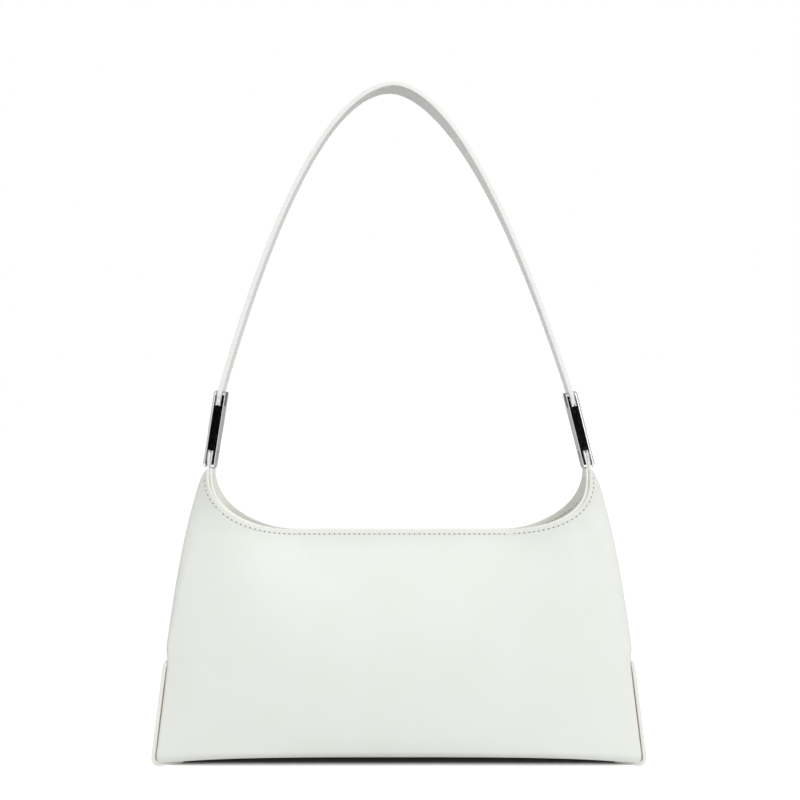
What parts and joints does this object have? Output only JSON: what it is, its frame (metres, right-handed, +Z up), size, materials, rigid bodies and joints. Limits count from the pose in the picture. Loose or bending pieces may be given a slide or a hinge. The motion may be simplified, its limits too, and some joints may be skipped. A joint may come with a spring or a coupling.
{
  "type": "handbag",
  "caption": "Leather shoulder bag with a scooped mouth rising to two horns, polished metal links, lower side patches, an inner pocket, a hidden magnetic snap and an arched strap.",
  "frame": {"origin": "middle of the bag on the surface it stands on", "axes": "+Z up through the strap, -Y towards the front panel, +X to the right seen from the front"},
  "size_m": [0.2966, 0.072, 0.4159],
  "materials": {
    "shell_leather": "smooth semi-gloss",
    "patch_leather": "smooth semi-gloss",
    "facing_leather": "smooth matt",
    "strap_leather": "smooth semi-gloss",
    "lining": "fine woven",
    "board": "matt",
    "link_metal": "polished",
    "pin_metal": "turned"
  },
  "bodies": {
    "bag": {"front_panel": "shell_leather", "back_panel": "shell_leather", "left_gusset": "shell_leather", "right_gusset": "shell_leather", "base_panel": "shell_leather", "left_side_patch": "patch_leather", "right_side_patch": "patch_leather", "front_facing": "facing_leather", "back_facing": "facing_leather", "left_tab_facing": "facing_leather", "right_tab_facing": "facing_leather", "left_tab_loop": "strap_leather", "right_tab_loop": "strap_leather", "lining_front": "lining", "lining_back": "lining", "lining_left": "lining", "lining_right": "lining", "lining_base": "lining", "base_board": "board", "inner_pocket": "lining", "pocket_binding": "facing_leather", "snap_socket": "pin_metal", "snap_stud": "pin_metal"},
    "handle": {"left_link": "link_metal", "right_link": "link_metal", "left_lower_pin": "pin_metal", "right_lower_pin": "pin_metal", "left_upper_pin": "pin_metal", "right_upper_pin": "pin_metal", "strap_outer": "strap_leather", "strap_inner": "strap_leather"}
  },
  "joints": [
    {"name": "strap_swing", "type": "hinge", "parent": "bag", "child": "handle", "pos_m": [0, 0, 0.18915], "axis": [1, 0, 0], "range_deg": [-100, 100], "deforming": ["left_tab_loop", "right_tab_loop"]}
  ]
}
